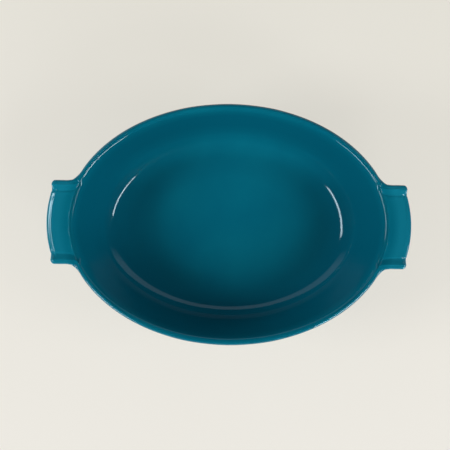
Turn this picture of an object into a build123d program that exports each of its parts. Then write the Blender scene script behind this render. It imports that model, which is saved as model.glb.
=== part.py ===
from build123d import *
import math
import os

# Oval gratin dish with two tab handles, one glazed body on a bare clay foot.
# Millimetres, +Z up. The origin is on the table plane under the middle of the
# bowl and +X runs along the long axis towards the right handle.

# Bowl
rim_length = 328.0
rim_width = 241.0
dish_height = 68.0
rim_wall = 6.5
floor_thickness = 6.5
floor_round = 27.0
base_round = 34.0
rim_outer_round = 2.5
rim_inner_round = 5.0
wall_draft_angle = 23.0

# Foot ring
foot_length = 186.0
foot_width = 135.0
foot_band = 6.0
foot_height = 3.0
foot_edge_bevel = 0.8

# Handles
grip_width = 84.0
rib_reach = 13.6
tip_bulge = 4.9
tip_arc_radius = 107.0
grip_depth = 9.0
grip_end_lip = 6.0
grip_end_thickness = 6.5
grip_edge_round = 2.8
grip_nook_round = 2.5
tip_bevel_length = 6.0
tip_bevel_drop = 3.0
tip_crest_round = 5.0
tip_nose_round = 3.5
root_blend = 12.0

# Sunk panel on top of each handle, between its two ribs
panel_drop = 2.2
rib_width = 8.0
shoulder_round = 1.8
root_round = 5.5
root_lap = 0.05
flare_radius = 18.0
flare_setback = 1.3
flare_lead = 12.0
flare_angle = 23.0

# How far a cutting body runs past the material it cuts
overrun = 5.0

end_round_share = 0.45

grip_end_drop = grip_depth + grip_end_lip
panel_height = dish_height - panel_drop
panel_half = grip_width / 2 - rib_width
rib_end = rim_length / 2 + rib_reach
tip_reach = rib_end + tip_bulge
arc_centre = tip_reach - tip_arc_radius


def wall_section(half_width, bottom, heel_round, rise):
    """Half of a bowl section: flat bottom, round heel, drafted wall.

    half_width is measured at the rim plane and the wall runs on above that
    plane by rise.
    """
    draft = math.radians(wall_draft_angle)
    centre_z = bottom + heel_round
    wall_y = half_width - (dish_height - centre_z) * math.tan(draft)
    centre_y = wall_y - heel_round / math.cos(draft)
    middle = math.radians(wall_draft_angle + 90) / 2
    heel_start = (centre_y, bottom)
    heel_middle = (centre_y + heel_round * math.cos(middle),
                   centre_z - heel_round * math.sin(middle))
    heel_end = (centre_y + heel_round * math.cos(draft),
                centre_z - heel_round * math.sin(draft))
    top = (half_width + rise * math.tan(draft), dish_height + rise)
    with BuildSketch(Plane.YZ) as section:
        with BuildLine():
            Line((0, bottom), heel_start)
            ThreePointArc(heel_start, heel_middle, heel_end)
            Line(heel_end, top)
            Line(top, (0, top[1]))
            Line((0, top[1]), (0, bottom))
        make_face()
    return section.sketch


def oval(section, half_length, half_width):
    """A section spun about Z and stretched along X into an oval body."""
    return scale(revolve(section, Axis.Z), by=(half_length / half_width, 1, 1))


def bowl_outside():
    """The bowl's outside as a solid, its rim corner still sharp."""
    draft = math.radians(wall_draft_angle)
    taken_by_round = rim_outer_round * (math.tan(draft) + 1 / math.cos(draft) - 1)
    half_width = rim_width / 2 + taken_by_round
    section = wall_section(half_width, foot_height, base_round, 0)
    return oval(section, rim_length / 2 + taken_by_round, half_width)


def bowl_hollow():
    """The space inside the bowl, running on above the rim."""
    half_width = rim_width / 2 - rim_wall
    floor_height = foot_height + floor_thickness
    section = wall_section(half_width, floor_height, floor_round, overrun)
    return oval(section, rim_length / 2 - rim_wall, half_width)


def grip_section(start_x, end_x, top, plate, drop, corner):
    """Long section of a handle: a plate whose outer end turns down.

    corner gives the points at the outer top corner.
    """
    inner_x = end_x - grip_end_thickness
    with BuildSketch(Plane.XZ) as section:
        with BuildLine():
            Polyline((start_x, top), *corner, (end_x, top - drop),
                     (inner_x, top - drop), (inner_x, top - plate),
                     (start_x, top - plate), close=True)
        make_face()
        lower_end = section.vertices().group_by(Axis.Y)[0]
        fillet(lower_end, grip_end_thickness * end_round_share)
        nook = section.vertices().sort_by_distance((inner_x, top - plate))[0]
        fillet(nook, grip_nook_round)
    return section.sketch


def grip_blank():
    """Straight-ended handle, from the middle of the bowl to the rib ends.

    Only the ribs turn down here; the plate between them stays flat.
    """
    section = grip_section(0, rib_end, dish_height, grip_depth, grip_end_drop,
                           [(rib_end, dish_height)])
    blank = extrude(section, grip_width / 2, both=True)
    under = Box(rib_end, 2 * panel_half, grip_end_drop,
                align=(Align.CENTER, Align.CENTER, Align.MAX))
    blank -= Pos(rib_end, 0, dish_height - grip_depth) * under
    sides = blank.faces().sort_by(Axis.Y)
    edges = ShapeList()
    for side in (sides[0], sides[-1]):
        below_top = side.edges().sort_by(Axis.Z)[:-1]
        edges += below_top.sort_by(Axis.X)[1:]
    return fillet(edges, grip_edge_round)


def panel_end():
    """Bowed outer end of the panel, swept about the tip's own arc centre."""
    crest = (tip_reach - tip_bevel_length, panel_height)
    nose = (tip_reach, panel_height - tip_bevel_drop)
    section = grip_section(arc_centre, tip_reach, panel_height,
                           grip_depth - panel_drop, grip_end_drop - panel_drop,
                           [crest, nose])
    for (x, z), radius in ((crest, tip_crest_round), (nose, tip_nose_round)):
        vertex = section.vertices().sort_by_distance((x, 0, z))[0]
        section = fillet(vertex, radius)
    axis = Axis((arc_centre, 0, 0), (0, 0, 1))
    half_turn = math.degrees(math.asin(grip_width / 2 / tip_arc_radius))
    return revolve(section, axis, 2 * half_turn).rotate(axis, -half_turn)


def end_zone():
    """The space between the ribs where the bowed end takes over."""
    plate_radius = tip_arc_radius - grip_end_thickness - grip_nook_round
    bottom = dish_height - grip_end_drop - overrun
    with BuildSketch(Plane.XY.offset(bottom)) as plan:
        with Locations((arc_centre, 0)):
            Rectangle(tip_arc_radius + overrun, 2 * panel_half,
                      align=(Align.MIN, Align.CENTER))
            Circle(plate_radius, mode=Mode.SUBTRACT)
    return extrude(plan.sketch, grip_end_drop + 2 * overrun)


def panel_mouth():
    """The space above panel level, rounded down into the bowl.

    The round reaches past the wall by root_lap, so that the two surfaces
    cross instead of only touching.
    """
    draft = math.radians(wall_draft_angle)
    half_width = rim_width / 2 - rim_wall
    wall_y = half_width - panel_drop * math.tan(draft)
    centre_z = panel_height - root_round
    centre_y = wall_y + (root_round - root_lap) / math.cos(draft)
    centre_y -= root_round * math.tan(draft)
    middle = math.radians(90 - wall_draft_angle) / 2
    low = (centre_y - root_round * math.cos(draft),
           centre_z + root_round * math.sin(draft))
    halfway = (centre_y - root_round * math.sin(middle),
               centre_z + root_round * math.cos(middle))
    far = tip_reach + overrun
    top = dish_height + overrun
    with BuildSketch(Plane.YZ) as section:
        with BuildLine():
            Line((0, low[1]), low)
            ThreePointArc(low, halfway, (centre_y, panel_height))
            Polyline((centre_y, panel_height), (far, panel_height), (far, top),
                     (0, top), (0, low[1]))
        make_face()
    return oval(section.sketch, rim_length / 2 - rim_wall, half_width)


def pocket_cutter():
    """Cuts down to the panel; its collar leaves the ribs' shoulders round."""
    flare_start = rim_length / 2 - flare_setback
    front = tip_reach + overrun
    with BuildSketch(Plane.XY.offset(panel_height - root_round)) as plan:
        with BuildLine():
            side = Line((front, panel_half), (flare_start, panel_half))
            flare = JernArc(side @ 1, (-1, 0), flare_radius, -flare_angle)
            lead = Line(flare @ 1, flare @ 1 + flare % 1 * flare_lead)
            inner = Line(lead @ 1, (0, (lead @ 1).Y))
            Line(inner @ 1, (0, 0))
            Line((front, panel_half), (front, 0))
            mirror(about=Plane.XZ)
        make_face()
    pocket = extrude(plan.sketch, root_round + panel_drop + overrun) & panel_mouth()
    collar_plan = Plane.XY.offset(dish_height) * Rectangle(2 * rim_length, rim_width)
    collar = extrude(collar_plan, overrun)
    cutter = pocket + collar
    return fillet(new_edges(pocket, collar, combined=cutter), shoulder_round)


def right_half():
    """The right half of the glazed body, handle included, in one form."""
    span = 2 * rim_length
    half_space = Pos(rim_length, 0, 0) * Box(span, span, span)
    outside = bowl_outside() & half_space
    blank = grip_blank()
    body = outside + blank
    body = fillet(new_edges(outside, blank, combined=body), root_blend)
    rim_edges = body.edges().group_by(Axis.Z)[-1].sort_by(Axis.X)[1:]
    body = fillet(rim_edges, rim_outer_round)

    body -= bowl_hollow()
    rim_edges = body.edges().group_by(Axis.Z)[-1]
    body = fillet(rim_edges.sort_by(SortBy.LENGTH)[-1], rim_inner_round)

    zone = end_zone()
    body = body - zone + (panel_end() & zone)
    return body - pocket_cutter()


def foot_ring():
    """Bare clay ring the dish stands on, its lower edges bevelled."""
    outline = Ellipse(foot_length / 2, foot_width / 2)
    inside = Ellipse(foot_length / 2 - foot_band, foot_width / 2 - foot_band)
    ring = extrude(outline - inside, foot_height)
    return chamfer(ring.edges().group_by(Axis.Z)[0], foot_edge_bevel)


def build_parts():
    half = right_half()
    outside = bowl_outside()
    bowl_half = half & outside
    handle = half - outside
    return {
        "bowl": bowl_half + bowl_half.mirror(Plane.YZ),
        "handle_right": handle,
        "handle_left": handle.mirror(Plane.YZ),
        "foot_ring": foot_ring(),
    }


os.makedirs("parts", exist_ok=True)
for name, solid in build_parts().items():
    export_step(solid, "parts/" + name + ".step")
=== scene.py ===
import math

import bmesh
import bpy
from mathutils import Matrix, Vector


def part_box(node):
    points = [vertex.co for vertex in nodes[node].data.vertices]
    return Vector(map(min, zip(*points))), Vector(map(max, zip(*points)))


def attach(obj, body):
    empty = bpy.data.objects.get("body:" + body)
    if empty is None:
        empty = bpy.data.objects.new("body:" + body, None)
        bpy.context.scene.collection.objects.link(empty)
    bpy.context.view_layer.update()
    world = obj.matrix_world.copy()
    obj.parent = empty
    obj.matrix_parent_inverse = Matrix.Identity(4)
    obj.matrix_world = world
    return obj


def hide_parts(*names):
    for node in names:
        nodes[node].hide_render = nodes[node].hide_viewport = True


# Oval gratin dish: one glazed body with two tab handles on a bare clay foot.
# Sizes are in millimetres and the meshes are scaled to metres when made.

MM = 0.001

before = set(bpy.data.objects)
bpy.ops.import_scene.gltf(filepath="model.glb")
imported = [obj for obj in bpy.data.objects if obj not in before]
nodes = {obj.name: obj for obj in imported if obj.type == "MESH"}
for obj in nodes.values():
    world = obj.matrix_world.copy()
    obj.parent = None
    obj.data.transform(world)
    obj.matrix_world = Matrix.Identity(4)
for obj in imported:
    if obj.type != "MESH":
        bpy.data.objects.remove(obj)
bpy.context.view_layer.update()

bowl_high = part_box("bowl")[1] / MM
bowl_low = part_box("bowl")[0] / MM
handle_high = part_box("handle_right")[1] / MM

# Outer reach of the rim and handles, taken from the frame
rim_half_length = bowl_high.x
rim_half_width = bowl_high.y
rim_height = bowl_high.z
base_height = bowl_low.z
tip_reach = handle_high.x

# Bowl section
rim_wall = 6.5
floor_thickness = 6.5
floor_round = 27.0
base_round = 34.0
rim_outer_round = 2.8
rim_inner_round = 5.0
root_round = 5.5
wall_draft = math.radians(23.0)

# Handles
rib_end = 177.6
tip_arc_radius = 107.0
panel_drop = 2.2
plate_depth = 9.0
rib_crest = 2.6
bevel_length = 6.0
root_blend = 12.0

# Columns run from the middle of a handle round to the middle of a long side.
# The first ones lie across the handle and have a place on each of these lines.
mouth_y = (0.0, 10.0, 20.0, 28.0, 33.4, 36.8, 41.0, 43.4, 46.2)
rim_y = (0.0, 9.8, 19.4, 27.0, 31.2, 33.4, 38.0, 40.0, 42.6)
tab_y = (0.0, 9.5, 18.8, 26.4, 30.2, 32.2, 37.0, 38.4, 39.5)
last_tab = len(tab_y) - 1
last_panel = 5
blend_end_y = 49.5
side_y = (56.0, 66.0, 77.0, 88.0, 98.0, 107.0, 113.5, 118.0)

# The mouth stands this share of its width outside a true oval, per column
mouth_swell = (0.002, 0.002, 0.002, 0.003, 0.004, 0.006, 0.010, 0.011, 0.011, 0.011,
               0.011, 0.010, 0.009, 0.008, 0.006, 0.005, 0.004, 0.004, 0.004)

# Rows from the rim out to the tip, as shares of that way
row_shares = (0.2, 0.37, 0.53, 0.68, 0.8, 0.9)

# Rows of the bowl: how far its flat bottom reaches, then angles round its
# curves in degrees, heights up its walls and depths below its mouth
flat_reach = 62.0
flat_shares = (0.33, 0.66, 1.0)
inside_heel_angles = (4, 19, 34, 49, 62)
inside_wall_depths = (34.0, 22.0, 12.0, 6.0)
lip_angles = (146, 120, 98)
rim_edge_angles = (52, 10, -23)
upper_wall_heights = (61.0, 56.0)
lower_wall_heights = (50.0, 42.0, 33.0)
outside_heel_angles = (63, 48, 33, 18, 4)

# The two lines on top of the rim: half width, and how far their columns have
# moved from the mouth's places to the rim's
rim_top_lines = ((117.4, 0.4), (118.2, 1.0))

# Past the handle each oval line keeps this share of the tab's sideways shift
shift_share = 0.5

# The bevel at the tip: inward of the tip's edge and down from the panel
tip_bevel = ((-4.6, -0.10), (-3.0, -0.52), (-1.3, -0.98))

# The top corner of a rib is drawn in by this much along both axes
corner_pull = 0.5

# Down the outer end: inward of the edge and down from the top
panel_profile = ((-0.35, -1.7), (0.0, -3.6), (0.0, -7.8), (-0.45, -10.9),
                 (-3.2, -12.8))
rib_profile = ((-0.75, -0.72), (0.0, -2.6), (0.0, -7.4), (-0.4, -12.6), (-3.0, -15.0))
corner_places = ((175.9, 40.3, 67.25), (176.37, 40.77, 65.3), (176.37, 40.77, 60.4),
                 (176.1, 40.5, 55.3), (174.4, 39.3, 53.2))

# Down the handle's side, from its root out to the corner
side_places = (
    ((154.5, 43.2, 67.3), (154.8, 43.8, 65.4), (154.5, 43.8, 62.8),
     (153.4, 43.7, 59.4), (151.2, 43.6, 56.0)),
    ((157.8, 41.8, 67.3), (157.9, 42.45, 65.4), (157.8, 42.4, 63.0),
     (157.5, 41.8, 60.4), (156.8, 40.4, 58.8)),
    ((161.4, 41.3, 67.3), (161.5, 42.0, 65.4), (161.4, 42.0, 63.2),
     (161.1, 41.3, 60.4), (160.6, 39.8, 59.05)),
    ((164.9, 41.25, 67.3), (165.0, 42.0, 65.4), (165.0, 42.0, 63.0),
     (164.9, 41.3, 60.1), (164.6, 39.7, 59.0)),
    ((168.1, 41.25, 67.3), (168.4, 42.0, 65.4), (168.5, 42.0, 62.2),
     (168.3, 41.3, 59.8), (168.0, 39.7, 58.95)),
    ((171.0, 41.25, 67.3), (171.5, 42.0, 65.4), (171.8, 42.0, 61.4),
     (171.6, 41.4, 58.0), (171.0, 39.8, 56.8)),
    ((173.4, 41.2, 67.3), (174.4, 41.9, 65.4), (174.4, 41.9, 60.6),
     (173.9, 41.5, 55.8), (172.3, 39.9, 54.0)),
)
skirt_levels = len(corner_places)

# Under the handle: angles round the blend into the wall, then the inside of
# the turned-down end, inward of the edge and down from the plate's underside
under_blend_angles = (140, 118, 98)
hook_inside = ((-9.0, 0.0), (-6.7, -1.6), (-6.1, -4.6))

# The body is one mesh, split into the pieces of these nodes
body_nodes = ("bowl", "handle_right", "handle_left")
weld_digits = 4
subdivision_level = 2
settle_rounds = 10

# Colours of the glaze, the clay, the sheet and the light, linear
glaze_thick = (0.0006, 0.122, 0.190)
glaze_thin = (0.0014, 0.146, 0.214)
glaze_speck = (0.0006, 0.095, 0.150)
# Painted shade for the low wall and the heel
heel_painted_shade = (0.0005, 0.090, 0.144)
# Painted light: the handles lighter, as if lit more than the bowl, with a faint
# painted reflection
handle_painted_light = (0.0040, 0.172, 0.252)
# Edges: thin glaze breaking lighter, and partly a painted highlight
edge_glaze_and_highlight = (0.012, 0.180, 0.250)
clay_body = (0.55, 0.45, 0.33)
clay_pale = (0.66, 0.56, 0.43)
clay_scuff = (0.36, 0.27, 0.18)
# Painted light on the sheet: darker far off, lighter near the lamps in front
sheet_far_shaded = (0.800, 0.776, 0.700)
sheet_near_lit = (0.838, 0.812, 0.752)
sheet_drift = (0.900, 0.880, 0.830)
surround_seen = (0.80, 0.775, 0.715, 1.0)
fill_colour = (0.97, 0.98, 1.0, 1.0)
room_dark = (0.008, 0.008, 0.009)
room_band = (0.46, 0.58, 0.68)
white = (1.0, 1.0, 1.0)
cool = (0.74, 0.92, 1.0)

# Where painted shade darkens the low wall and the heel, and the lit far side kept
# clear of it, in metres out from the middle and across the dish
heel_shade_rise = (0.050, 0.086)
heel_shade_fall = (0.1095, 0.1160)
far_lit_reach = (0.086, 0.102)
far_lit_across = (0.036, 0.072)
# Where the painted light on the handles begins
handle_reach = (0.1185, 0.124)

# The middle stretch of a noise, where most of it lies
mid_noise = (0.3, 0.7)

# Noise and pointiness from where to where specks, scuffs and the lighter edges show:
# thin glaze there, and partly a painted highlight
speck_noise = (0.68, 0.78)
scuff_noise = (0.62, 0.72)
edge_thin_and_lit_range = (0.505, 0.56)

# Painted light on the sheet: its tone turns lighter from far to near, towards the
# lamps in front, between these places in metres
sheet_light_fade = (0.24, -0.30)
sheet_radius = 9.0
sheet_sides = 96
sheet_drop = 0.2

# How much of the sheet glows by itself, for other rays and for the camera
sheet_glow = (0.3, 0.75)

# The pale band low in the room behind the dish that the near wall mirrors
band_top = (0.47, 0.53)
band_side = (0.35, 0.55)
fill_strength = 0.205

lamp_distance = 1.8

# Name, bearing, elevation, size, radiance, mirrored in the glaze, colour
lamps = (
    ("left_window", 170.0, 26.0, (0.7, 0.5), 23.0, False, white),
    ("right_window", 10.0, 30.0, (0.7, 0.5), 10.5, False, white),
    ("front_window", 60.0, 30.0, (0.7, 0.5), 9.2, False, white),
    ("low_window", 40.0, 20.0, (0.7, 0.5), 5.3, False, white),
    ("left_strip", 165.0, 53.0, (1.06, 0.16), 13.0, True, cool),
    ("right_strip", 27.0, 41.0, (0.95, 0.10), 17.0, True, cool),
    ("near_left_strip", 133.0, 6.3, (0.9, 0.38), 14.0, True, cool),
    ("near_right_strip", 48.0, 6.3, (0.9, 0.38), 22.0, True, cool),
)

tan_draft = math.tan(wall_draft)
cos_draft = math.cos(wall_draft)
sin_draft = math.sin(wall_draft)

corner_extra = rim_outer_round * (tan_draft + 1 / cos_draft - 1)
outer_half = rim_half_width + corner_extra
outer_stretch = (rim_half_length + corner_extra) / outer_half
inner_half = rim_half_width - rim_wall
inner_stretch = (rim_half_length - rim_wall) / inner_half
floor_height = base_height + floor_thickness
panel_height = rim_height - panel_drop
plate_under = rim_height - plate_depth
arc_centre = tip_reach - tip_arc_radius


def wall_reach(half_width, height):
    """Half width of a drafted wall at a height."""
    return half_width - (rim_height - height) * tan_draft


def heel_points(half_width, bottom, radius, angles):
    """Points round the heel of a section, from the flat bottom upwards."""
    centre_z = bottom + radius
    centre_r = wall_reach(half_width, centre_z) - radius / cos_draft
    points = []
    for angle in angles:
        turn = math.radians(angle)
        points.append((centre_r + radius * math.sin(turn),
                       centre_z - radius * math.cos(turn)))
    return points


def lip_points(height, radius, angles):
    """Points over the round between the inside wall and a level top."""
    wall = wall_reach(inner_half, height)
    centre_r = wall + radius * (1 - sin_draft) / cos_draft
    centre_z = height - radius
    points = []
    for angle in angles:
        turn = math.radians(angle)
        points.append((centre_r + radius * math.cos(turn),
                       centre_z + radius * math.sin(turn)))
    return points


def inside_section(level, lip_round):
    """Rows from the middle of the floor up to the mouth at a level."""
    rows = [(share * flat_reach, floor_height) for share in (0.0,) + flat_shares]
    rows += heel_points(inner_half, floor_height, floor_round, inside_heel_angles)
    for depth in inside_wall_depths:
        rows.append((wall_reach(inner_half, level - depth), level - depth))
    rows += lip_points(level, lip_round, lip_angles)
    return rows


def on_oval(stretch, half_width, y, height):
    """Point of an oval at a given y."""
    share = min(y / half_width, 1.0)
    return Vector((stretch * half_width * math.sqrt(1 - share * share), y, height))


def tip_x(column):
    """Where a column of the handle ends: the bowed panel or a straight rib."""
    if column > last_panel:
        return rib_end
    y = tab_y[column]
    return arc_centre + math.sqrt(tip_arc_radius ** 2 - y * y)


class Cage:
    """Control points and faces of one quarter of the dish."""

    def __init__(self):
        self.points = []
        self.faces = []
        self.parts = []

    def add(self, point):
        self.points.append(Vector(point))
        return len(self.points) - 1

    def strip(self, first, second, part):
        """Faces between two rows with the same number of points."""
        for k in range(len(first) - 1):
            corners = [first[k], first[k + 1], second[k + 1], second[k]]
            kept = []
            for corner in corners:
                if corner not in kept:
                    kept.append(corner)
            self.faces.append(kept)
            self.parts.append(part)


def columns_y(tab_line, half_width):
    """Place of every column on an oval line of the bowl."""
    places = list(tab_line)
    share = half_width / rim_half_width
    shift = tab_line[last_tab] - rim_y[last_tab]
    places.append(blend_end_y * share + shift * shift_share)
    places += [y * share for y in side_y]
    places.append(half_width)
    return places


def inside_rows(cage):
    """Floor, heel, inside wall and the round of the mouth."""
    rim_rows = inside_section(rim_height, rim_inner_round)
    panel_rows = inside_section(panel_height, root_round)
    mouth = columns_y(mouth_y, inner_half)
    rows = []
    centre = cage.add((0, 0, floor_height))
    rows.append([centre] * len(mouth))
    for k in range(1, len(rim_rows)):
        row = []
        for column, y in enumerate(mouth):
            r, z = panel_rows[k] if column <= last_panel else rim_rows[k]
            climb = (z - floor_height) / (rim_height - floor_height)
            r *= 1 + mouth_swell[column] * climb ** 2
            angle = math.asin(min(y / inner_half, 1.0))
            row.append(cage.add((inner_stretch * r * math.cos(angle),
                                 r * math.sin(angle), z)))
        rows.append(row)
    return rows


def rim_top_rows(cage):
    """The level band on top of the rim, out to where it rounds over."""
    rows = []
    for half_width, nearness in rim_top_lines:
        line = [a + (b - a) * nearness for a, b in zip(mouth_y, rim_y)]
        row = []
        for column, y in enumerate(columns_y(line, half_width)):
            level = panel_height if column <= last_panel else rim_height
            row.append(cage.add(on_oval(outer_stretch, half_width, y, level)))
        rows.append(row)
    return rows


def outside_rows(cage, first_column):
    """Rounded outer edge of the rim and the wall, clear of the handle."""
    centre_r = outer_half - rim_outer_round * (tan_draft + 1 / cos_draft)
    centre_z = rim_height - rim_outer_round
    section = []
    for angle in rim_edge_angles:
        turn = math.radians(angle)
        section.append((centre_r + rim_outer_round * math.cos(turn),
                        centre_z + rim_outer_round * math.sin(turn)))
    for height in upper_wall_heights:
        section.append((wall_reach(outer_half, height), height))
    rows = []
    for half_width, height in section:
        places = columns_y(rim_y, half_width)[first_column:]
        rows.append([cage.add(on_oval(outer_stretch, half_width, y, height))
                     for y in places])
    return rows


def lower_rows(cage):
    """Outside wall below the handles, heel and underside."""
    section = [(wall_reach(outer_half, height), height)
               for height in lower_wall_heights]
    section += heel_points(outer_half, base_height, base_round, outside_heel_angles)
    section += [(share * flat_reach, base_height) for share in reversed(flat_shares)]
    line = columns_y(rim_y, rim_half_width)
    rows = []
    for half_width, height in section:
        row = []
        for y in line:
            angle = math.asin(min(y / rim_half_width, 1.0))
            row.append(cage.add((outer_stretch * half_width * math.cos(angle),
                                 half_width * math.sin(angle), height)))
        rows.append(row)
    centre = cage.add((0, 0, base_height))
    rows.append([centre] * len(line))
    return rows


def handle_top(cage, rim_row):
    """Rows of the handle's top, from the rim out to the edge at the tip."""
    rows = []
    first_bevel = len(row_shares) + 1 - len(tip_bevel)
    crest_share = row_shares[first_bevel - 1]
    for share in row_shares + (1.0,):
        row = []
        for column, y in enumerate(tab_y):
            start = cage.points[rim_row[column]]
            tip = tip_x(column)
            if column > last_panel:
                end = Vector((tip - rib_crest, y, rim_height))
                point = start.lerp(end, share)
            elif share <= crest_share:
                crest = Vector((tip - bevel_length, y, panel_height))
                point = start.lerp(crest, share / crest_share)
            else:
                inward, down = tip_bevel[len(rows) - first_bevel]
                point = Vector((tip + inward, y, panel_height + down))
            settled = min(1.0, share / row_shares[1])
            point.y = start.y + (y - start.y) * math.sin(settled * math.pi / 2)
            row.append(cage.add(point))
        rows.append(row)
    corner = cage.points[rows[-1][last_tab]]
    corner.x -= corner_pull
    corner.y -= corner_pull
    return rows


def tip_edge(cage):
    """Edge rows down the outer end, from the middle out to the corner."""
    rows = []
    for level in range(skirt_levels):
        row = []
        for column, y in enumerate(tab_y[:-1]):
            if column <= last_panel:
                inward, down = panel_profile[level]
                top = panel_height
            else:
                inward, down = rib_profile[level]
                top = rim_height
            row.append(cage.add((tip_x(column) + inward, y, top + down)))
        rows.append(row)
    for row, point in zip(rows, corner_places):
        row.append(cage.add(point))
    return rows


def side_edge(cage):
    """Edge rows along the handle's side, from its root out to the corner."""
    rows = []
    for level in range(skirt_levels):
        rows.append([cage.add(column[level]) for column in side_places])
    return rows


def handle_under(cage):
    """Rows under the handle, from the wall out to the inside of the hook."""
    blend_reach = root_blend * math.tan((math.pi / 2 - wall_draft) / 2)
    rows = []
    wall_at_plate = wall_reach(outer_half, plate_under)
    for angle in under_blend_angles:
        turn = math.radians(angle)
        row = []
        for column in range(last_tab):
            y = (rim_y[column] + tab_y[column]) / 2
            x = on_oval(outer_stretch, wall_at_plate, y, 0).x + blend_reach
            z = plate_under - root_blend + root_blend * math.sin(turn)
            row.append(cage.add((x + root_blend * math.cos(turn), y, z)))
        rows.append(row)
    nook_inward = hook_inside[0][0]
    between = []
    for column in range(last_tab):
        near = cage.points[rows[-1][column]]
        x = (near.x + tip_x(column) + nook_inward) / 2
        between.append(cage.add((x, tab_y[column], plate_under)))
    rows.append(between)
    for inward, down in hook_inside:
        height = plate_under + down
        rows.append([cage.add((tip_x(column) + inward, tab_y[column], height))
                     for column in range(last_tab)])
    return rows


def quarter_dish():
    """One quarter of the dish, its faces tagged bowl or handle."""
    cage = Cage()
    inside = inside_rows(cage)
    top = rim_top_rows(cage)
    outside = outside_rows(cage, last_tab + 1)
    lower = lower_rows(cage)
    rim_row = top[-1]
    bands = inside + top
    for first, second in zip(bands, bands[1:]):
        cage.strip(first, second, "bowl")

    grip_rows = handle_top(cage, rim_row)
    tab_rows = [rim_row[:last_tab + 1]] + grip_rows
    for first, second in zip(tab_rows, tab_rows[1:]):
        cage.strip(first, second, "handle")

    tip = tip_edge(cage)
    side = side_edge(cage)
    side_top = [row[last_tab] for row in tab_rows[:-1]]
    skirt = [grip_rows[-1] + side_top[::-1]]
    for tip_row, side_row in zip(tip, side):
        skirt.append(tip_row + side_row[::-1])
    for first, second in zip(skirt, skirt[1:]):
        cage.strip(first, second, "handle")

    wall = [[side_top[0]] + rim_row[last_tab + 1:]]
    for side_row, outside_row in zip(side, outside):
        wall.append([side_row[0]] + outside_row)
    wall.append(lower[0][last_tab:])
    for first, second in zip(wall, wall[1:]):
        cage.strip(first, second, "bowl")
    for first, second in zip(lower, lower[1:]):
        cage.strip(first, second, "bowl")

    under = handle_under(cage)
    under_rows = [lower[0][:last_tab + 1]]
    for row, corner in zip(under, side[-1]):
        under_rows.append(row + [corner])
    under_rows.append(tip[-1])
    for first, second in zip(under_rows, under_rows[1:]):
        cage.strip(first, second, "handle")
    return cage


def whole_cage(cage):
    """The quarter mirrored into a whole dish, as points, faces and tags."""
    points, lookup, faces, tags = [], {}, [], []
    for side_x, side_y_sign in ((1, 1), (-1, 1), (-1, -1), (1, -1)):
        index = []
        for point in cage.points:
            place = Vector((point.x * side_x, point.y * side_y_sign, point.z))
            key = tuple(round(value, weld_digits) + 0.0 for value in place)
            if key not in lookup:
                lookup[key] = len(points)
                points.append(place)
            index.append(lookup[key])
        for face, part in zip(cage.faces, cage.parts):
            corners = [index[corner] for corner in face]
            if side_x * side_y_sign < 0:
                corners.reverse()
            faces.append(corners)
            if part == "bowl":
                tags.append(0)
            else:
                tags.append(1 if side_x > 0 else 2)
    return points, faces, tags


def finished_body():
    """The whole glazed body, subdivided so that it runs through its points."""
    points, faces, tags = whole_cage(quarter_dish())
    mesh = bpy.data.meshes.new("glazed_body")
    mesh.from_pydata([point * MM for point in points], [], faces)
    mesh.polygons.foreach_set("material_index", tags)
    body = bpy.data.objects.new("glazed_body", mesh)
    bpy.context.scene.collection.objects.link(body)
    for node in body_nodes:
        mesh.materials.append(None)
    smoother = body.modifiers.new("smooth_form", "SUBSURF")
    smoother.levels = 1
    smoother.render_levels = 1
    smoother.use_limit_surface = True
    targets = [vertex.co.copy() for vertex in mesh.vertices]
    for turn in range(settle_rounds):
        graph = bpy.context.evaluated_depsgraph_get()
        graph.update()
        surface = body.evaluated_get(graph).to_mesh()
        for number, target in enumerate(targets):
            vertex = mesh.vertices[number]
            vertex.co += target - surface.vertices[number].co
        body.evaluated_get(graph).to_mesh_clear()
        mesh.update()
    smoother.levels = subdivision_level
    graph = bpy.context.evaluated_depsgraph_get()
    graph.update()
    smooth = bpy.data.meshes.new_from_object(body.evaluated_get(graph))
    bpy.data.objects.remove(body)
    fill_box(smooth)
    return smooth


def fill_box(mesh):
    """Bring the mesh by a hair onto the box of the frame's glazed body."""
    wanted_low = Vector((-tip_reach, -rim_half_width, base_height)) * MM
    wanted_high = Vector((tip_reach, rim_half_width, rim_height)) * MM
    for axis in range(3):
        found = [vertex.co[axis] for vertex in mesh.vertices]
        low, high = min(found), max(found)
        scale = (wanted_high[axis] - wanted_low[axis]) / (high - low)
        for vertex in mesh.vertices:
            vertex.co[axis] = wanted_low[axis] + (vertex.co[axis] - low) * scale
    mesh.update()


def split_piece(smooth, normals, tag, name):
    """One piece of the body, shaded with the whole body's normals."""
    used, points, faces = {}, [], []
    for face in smooth.polygons:
        if face.material_index != tag:
            continue
        corners = []
        for number in face.vertices:
            if number not in used:
                used[number] = len(points)
                points.append(smooth.vertices[number].co.copy())
            corners.append(used[number])
        faces.append(corners)
    mesh = bpy.data.meshes.new(name)
    mesh.from_pydata(points, [], faces)
    mesh.polygons.foreach_set("use_smooth", [True] * len(faces))
    mesh.update()
    mesh.normals_split_custom_set_from_vertices([normals[number] for number in used])
    piece = bpy.data.objects.new(name, mesh)
    bpy.context.scene.collection.objects.link(piece)
    return piece


def node_tree(name):
    material = bpy.data.materials.new(name)
    material.use_nodes = True
    tree = material.node_tree
    tree.nodes.clear()
    output = tree.nodes.new("ShaderNodeOutputMaterial")
    shader = tree.nodes.new("ShaderNodeBsdfPrincipled")
    tree.links.new(shader.outputs["BSDF"], output.inputs["Surface"])
    return material, tree, shader


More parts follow.
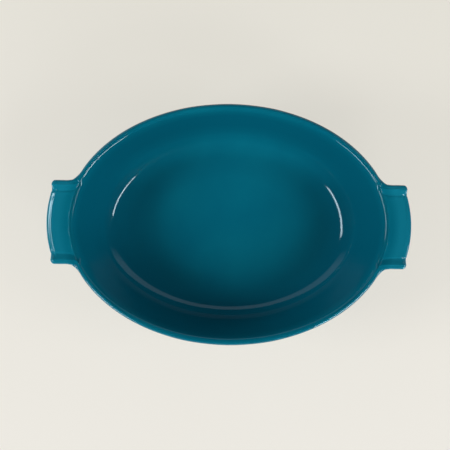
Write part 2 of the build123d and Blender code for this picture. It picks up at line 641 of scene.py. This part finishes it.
def noise_at(tree, place, scale, detail=2.0, roughness=0.5):
    noise = tree.nodes.new("ShaderNodeTexNoise")
    noise.inputs["Scale"].default_value = scale
    noise.inputs["Detail"].default_value = detail
    noise.inputs["Roughness"].default_value = roughness
    tree.links.new(place, noise.inputs["Vector"])
    return noise.outputs["Fac"]


def ranged(tree, value, low, high, to_low, to_high):
    change = tree.nodes.new("ShaderNodeMapRange")
    change.inputs["From Min"].default_value = low
    change.inputs["From Max"].default_value = high
    change.inputs["To Min"].default_value = to_low
    change.inputs["To Max"].default_value = to_high
    tree.links.new(value, change.inputs["Value"])
    return change.outputs["Result"]


def blended(tree, amount, first, second):
    mix = tree.nodes.new("ShaderNodeMix")
    mix.data_type = "RGBA"
    tree.links.new(amount, mix.inputs[0])
    for socket, colour in ((mix.inputs[6], first), (mix.inputs[7], second)):
        if isinstance(colour, tuple):
            socket.default_value = colour + (1.0,)
        else:
            tree.links.new(colour, socket)
    return mix.outputs[2]


def multiplied(tree, first, second):
    product = tree.nodes.new("ShaderNodeMath")
    product.operation = "MULTIPLY"
    tree.links.new(first, product.inputs[0])
    tree.links.new(second, product.inputs[1])
    return product.outputs[0]


def summed(tree, first, second, share):
    add = tree.nodes.new("ShaderNodeMath")
    add.operation = "MULTIPLY_ADD"
    tree.links.new(second, add.inputs[0])
    add.inputs[1].default_value = share
    tree.links.new(first, add.inputs[2])
    return add.outputs[0]


def kiln_unevenness():
    """Group with the slow drift and fine grain that fired surfaces share."""
    group = bpy.data.node_groups.new("kiln_unevenness", "ShaderNodeTree")
    group.interface.new_socket("Place", in_out="INPUT", socket_type="NodeSocketVector")
    drift_size = group.interface.new_socket(
        "Drift Scale", in_out="INPUT", socket_type="NodeSocketFloat")
    drift_size.default_value = 18.0
    grain_size = group.interface.new_socket(
        "Grain Scale", in_out="INPUT", socket_type="NodeSocketFloat")
    grain_size.default_value = 900.0
    group.interface.new_socket("Drift", in_out="OUTPUT", socket_type="NodeSocketFloat")
    group.interface.new_socket("Grain", in_out="OUTPUT", socket_type="NodeSocketFloat")
    start = group.nodes.new("NodeGroupInput")
    end = group.nodes.new("NodeGroupOutput")
    for label, detail in (("Drift", 3.0), ("Grain", 2.0)):
        noise = group.nodes.new("ShaderNodeTexNoise")
        noise.inputs["Detail"].default_value = detail
        group.links.new(start.outputs["Place"], noise.inputs["Vector"])
        group.links.new(start.outputs[label + " Scale"], noise.inputs["Scale"])
        group.links.new(noise.outputs["Fac"], end.inputs[label])
    return group


def place_group(tree, group, place, drift_scale, grain_scale):
    node = tree.nodes.new("ShaderNodeGroup")
    node.node_tree = group
    tree.links.new(place, node.inputs["Place"])
    node.inputs["Drift Scale"].default_value = drift_scale
    node.inputs["Grain Scale"].default_value = grain_scale
    return node.outputs["Drift"], node.outputs["Grain"]


def bumped(tree, shader, height, distance, strength=1.0):
    bump = tree.nodes.new("ShaderNodeBump")
    bump.inputs["Strength"].default_value = strength
    bump.inputs["Distance"].default_value = distance
    tree.links.new(height, bump.inputs["Height"])
    tree.links.new(bump.outputs["Normal"], shader.inputs["Normal"])


def oval_reach(tree, place):
    """How far out a point lies, measured on the long sides of the oval."""
    squash = tree.nodes.new("ShaderNodeVectorMath")
    squash.operation = "MULTIPLY"
    squash.inputs[1].default_value = (1 / inner_stretch, 1.0, 0.0)
    tree.links.new(place, squash.inputs[0])
    reach = tree.nodes.new("ShaderNodeVectorMath")
    reach.operation = "LENGTH"
    tree.links.new(squash.outputs["Vector"], reach.inputs[0])
    return reach.outputs["Value"]


def heel_shade_mask(tree, place, reach):
    """Painted shade low on the wall and at the heel, where the walls shade it.

    It is held off the far side, which faces the light.
    """
    inner = ranged(tree, reach, *heel_shade_rise, 0.0, 1.0)
    outer = ranged(tree, reach, *heel_shade_fall, 1.0, 0.0)
    split = tree.nodes.new("ShaderNodeSeparateXYZ")
    tree.links.new(place, split.inputs[0])
    far = ranged(tree, split.outputs["Y"], *far_lit_across, 0.0, 1.0)
    heel = ranged(tree, reach, *far_lit_reach, 1.0, 0.0)
    kept = ranged(tree, multiplied(tree, far, heel), 0.0, 1.0, 1.0, 0.0)
    return multiplied(tree, multiplied(tree, inner, outer), kept)


def teal_glaze(unevenness):
    """Glossy teal glaze: slow drift in tone, painted shade low in the bowl, painted
    light on the handles, lighter edges (thin glaze and partly a painted highlight), a
    breath of specks, soft waviness.
    """
    material, tree, shader = node_tree("teal_glaze")
    place = tree.nodes.new("ShaderNodeTexCoord").outputs["Object"]
    drift, grain = place_group(tree, unevenness, place, 16.0, 1100.0)
    thickness = ranged(tree, drift, *mid_noise, 0.0, 1.0)
    colour = blended(tree, thickness, glaze_thick, glaze_thin)
    speck = ranged(tree, grain, *speck_noise, 0.0, 0.35)
    colour = blended(tree, speck, colour, glaze_speck)
    reach = oval_reach(tree, place)
    # Painted shade low in the bowl, held off the lit far side
    heel_shade = heel_shade_mask(tree, place, reach)
    colour = blended(tree, heel_shade, colour, heel_painted_shade)
    # Painted light: the handles made lighter, with a faint painted reflection
    handle_light_mask = ranged(tree, reach, *handle_reach, 0.0, 1.0)
    colour = blended(tree, handle_light_mask, colour, handle_painted_light)
    # Sharp convex edges made lighter: thin glaze there, and partly a painted highlight
    # on the rounds
    edge = tree.nodes.new("ShaderNodeNewGeometry").outputs["Pointiness"]
    edge_thin_and_lit = ranged(tree, edge, *edge_thin_and_lit_range, 0.0, 0.35)
    colour = blended(tree, edge_thin_and_lit, colour, edge_glaze_and_highlight)
    tree.links.new(colour, shader.inputs["Base Color"])
    gloss = ranged(tree, drift, *mid_noise, 0.05, 0.08)
    tree.links.new(gloss, shader.inputs["Roughness"])
    shader.inputs["IOR"].default_value = 1.5
    wave = noise_at(tree, place, 34.0, 1.0, 0.4)
    height = summed(tree, wave, grain, 0.012)
    bumped(tree, shader, height, 0.00022, 0.6)
    return material


def bare_clay(unevenness):
    """Unglazed pale clay of the foot, sponged and lightly scuffed."""
    material, tree, shader = node_tree("bare_clay")
    place = tree.nodes.new("ShaderNodeTexCoord").outputs["Object"]
    drift, grain = place_group(tree, unevenness, place, 60.0, 1500.0)
    paleness = ranged(tree, drift, *mid_noise, 0.0, 1.0)
    colour = blended(tree, paleness, clay_body, clay_pale)
    scuff = ranged(tree, grain, *scuff_noise, 0.0, 0.5)
    colour = blended(tree, scuff, colour, clay_scuff)
    tree.links.new(colour, shader.inputs["Base Color"])
    dryness = ranged(tree, grain, *mid_noise, 0.72, 0.92)
    tree.links.new(dryness, shader.inputs["Roughness"])
    bumped(tree, shader, summed(tree, grain, drift, 0.6), 0.00025)
    return material


def pale_ground(unevenness):
    """Pale sheet under the dish, painted lighter towards the front; the camera sees
    its shadow softened.

    From below it is clear, so that the underside can be looked at.
    """
    material, tree, shader = node_tree("pale_ground")
    place = tree.nodes.new("ShaderNodeTexCoord").outputs["Object"]
    drift, grain = place_group(tree, unevenness, place, 3.0, 700.0)
    split = tree.nodes.new("ShaderNodeSeparateXYZ")
    tree.links.new(place, split.inputs[0])
    # Painted light: the sheet turns lighter towards the front
    near = ranged(tree, split.outputs["Y"], *sheet_light_fade, 0.0, 1.0)
    colour = blended(tree, near, sheet_far_shaded, sheet_near_lit)
    faint_drift = ranged(tree, drift, *mid_noise, 0.0, 0.15)
    colour = blended(tree, faint_drift, colour, sheet_drift)
    tree.links.new(colour, shader.inputs["Base Color"])
    shader.inputs["Roughness"].default_value = 0.9
    shader.inputs["Specular IOR Level"].default_value = 0.0
    bumped(tree, shader, grain, 0.0001, 0.3)
    glow = tree.nodes.new("ShaderNodeEmission")
    tree.links.new(colour, glow.inputs["Color"])
    path = tree.nodes.new("ShaderNodeLightPath")
    share = ranged(tree, path.outputs["Is Camera Ray"], 0.0, 1.0, *sheet_glow)
    mix = tree.nodes.new("ShaderNodeMixShader")
    tree.links.new(share, mix.inputs[0])
    tree.links.new(shader.outputs[0], mix.inputs[1])
    tree.links.new(glow.outputs[0], mix.inputs[2])
    clear = tree.nodes.new("ShaderNodeBsdfTransparent")
    geometry = tree.nodes.new("ShaderNodeNewGeometry")
    one_sided = tree.nodes.new("ShaderNodeMixShader")
    tree.links.new(geometry.outputs["Backfacing"], one_sided.inputs[0])
    tree.links.new(mix.outputs[0], one_sided.inputs[1])
    tree.links.new(clear.outputs[0], one_sided.inputs[2])
    output = next(node for node in tree.nodes if node.type == "OUTPUT_MATERIAL")
    tree.links.new(one_sided.outputs[0], output.inputs["Surface"])
    return material


def round_ground(material):
    """A wide round sheet under the dish."""
    form = bmesh.new()
    bmesh.ops.create_circle(form, cap_ends=True, segments=sheet_sides,
                            radius=sheet_radius)
    mesh = bpy.data.meshes.new("ground_sheet")
    form.to_mesh(mesh)
    form.free()
    mesh.materials.append(material)
    ground = bpy.data.objects.new("ground_sheet", mesh)
    ground.location.z = -sheet_drop * MM
    bpy.context.scene.collection.objects.link(ground)


def softbox(name, bearing, elevation, size, radiance, mirrored, colour):
    """Even lamp that either lights the scene or is mirrored in the glaze.

    Bearing runs from +X towards the front, in degrees.
    """
    width, height = size
    lamp = bpy.data.lights.new(name, "AREA")
    lamp.shape = "RECTANGLE"
    lamp.size = width
    lamp.size_y = height
    lamp.energy = radiance * math.pi * width * height
    holder = bpy.data.objects.new(name, lamp)
    bpy.context.scene.collection.objects.link(holder)
    turn, rise = math.radians(bearing), math.radians(elevation)
    way = Vector((math.cos(turn) * math.cos(rise), -math.sin(turn) * math.cos(rise),
                  math.sin(rise)))
    holder.location = way * lamp_distance
    lamp.color = colour
    holder.visible_diffuse = not mirrored
    holder.visible_glossy = mirrored
    holder.rotation_mode = "QUATERNION"
    holder.rotation_quaternion = way.to_track_quat("Z", "Y")
    holder.visible_camera = False


def studio_world():
    """Pale surroundings for the camera, dim ones for the lighting."""
    world = bpy.data.worlds.new("studio")
    bpy.context.scene.world = world
    world.use_nodes = True
    tree = world.node_tree
    tree.nodes.clear()
    output = tree.nodes.new("ShaderNodeOutputWorld")
    path = tree.nodes.new("ShaderNodeLightPath")
    way = tree.nodes.new("ShaderNodeTexCoord").outputs["Generated"]
    split = tree.nodes.new("ShaderNodeSeparateXYZ")
    tree.links.new(way, split.inputs[0])
    low = ranged(tree, split.outputs["Z"], *band_top, 1.0, 0.0)
    behind = ranged(tree, split.outputs["Y"], *band_side, 0.0, 1.0)
    glow = blended(tree, multiplied(tree, low, behind), room_dark, room_band)
    fill = tree.nodes.new("ShaderNodeBackground")
    fill.inputs["Color"].default_value = fill_colour
    fill.inputs["Strength"].default_value = fill_strength
    mirrored = tree.nodes.new("ShaderNodeBackground")
    tree.links.new(glow, mirrored.inputs["Color"])
    seen = tree.nodes.new("ShaderNodeBackground")
    seen.inputs["Color"].default_value = surround_seen
    gloss_mix = tree.nodes.new("ShaderNodeMixShader")
    tree.links.new(path.outputs["Is Glossy Ray"], gloss_mix.inputs[0])
    tree.links.new(fill.outputs[0], gloss_mix.inputs[1])
    tree.links.new(mirrored.outputs[0], gloss_mix.inputs[2])
    camera_mix = tree.nodes.new("ShaderNodeMixShader")
    tree.links.new(path.outputs["Is Camera Ray"], camera_mix.inputs[0])
    tree.links.new(gloss_mix.outputs[0], camera_mix.inputs[1])
    tree.links.new(seen.outputs[0], camera_mix.inputs[2])
    tree.links.new(camera_mix.outputs[0], output.inputs["Surface"])


def overhead_camera():
    """Straight down, a little off centre and a little turned, in metres."""
    camera = bpy.data.cameras.new("overhead")
    view_height = 1.15
    seen_width = 0.448
    camera.sensor_width = 36.0
    camera.lens = camera.sensor_width * view_height / seen_width
    camera.clip_start = 0.05
    camera.clip_end = 40.0
    holder = bpy.data.objects.new("overhead", camera)
    bpy.context.scene.collection.objects.link(holder)
    turn = 0.0155
    off_right, off_up = 3.9 * MM, 0.4 * MM
    holder.location = (-off_right * math.cos(turn) + off_up * math.sin(turn),
                       -off_right * math.sin(turn) - off_up * math.cos(turn),
                       rim_height * MM + view_height)
    holder.rotation_euler = (0.0, 0.0, turn)
    bpy.context.scene.camera = holder


unevenness = kiln_unevenness()
glaze = teal_glaze(unevenness)
clay = bare_clay(unevenness)

smooth_body = finished_body()
body_normals = [vertex.normal.copy() for vertex in smooth_body.vertices]
for tag, node in enumerate(body_nodes):
    piece = split_piece(smooth_body, body_normals, tag, "glazed_" + node)
    piece.data.materials.append(glaze)
    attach(piece, "root")
    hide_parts(node)
bpy.data.meshes.remove(smooth_body)

foot = nodes["foot_ring"]
foot.data.materials.clear()
foot.data.materials.append(clay)

round_ground(pale_ground(unevenness))
for lamp in lamps:
    softbox(*lamp)
studio_world()
overhead_camera()
bpy.context.scene.view_settings.view_transform = "Standard"
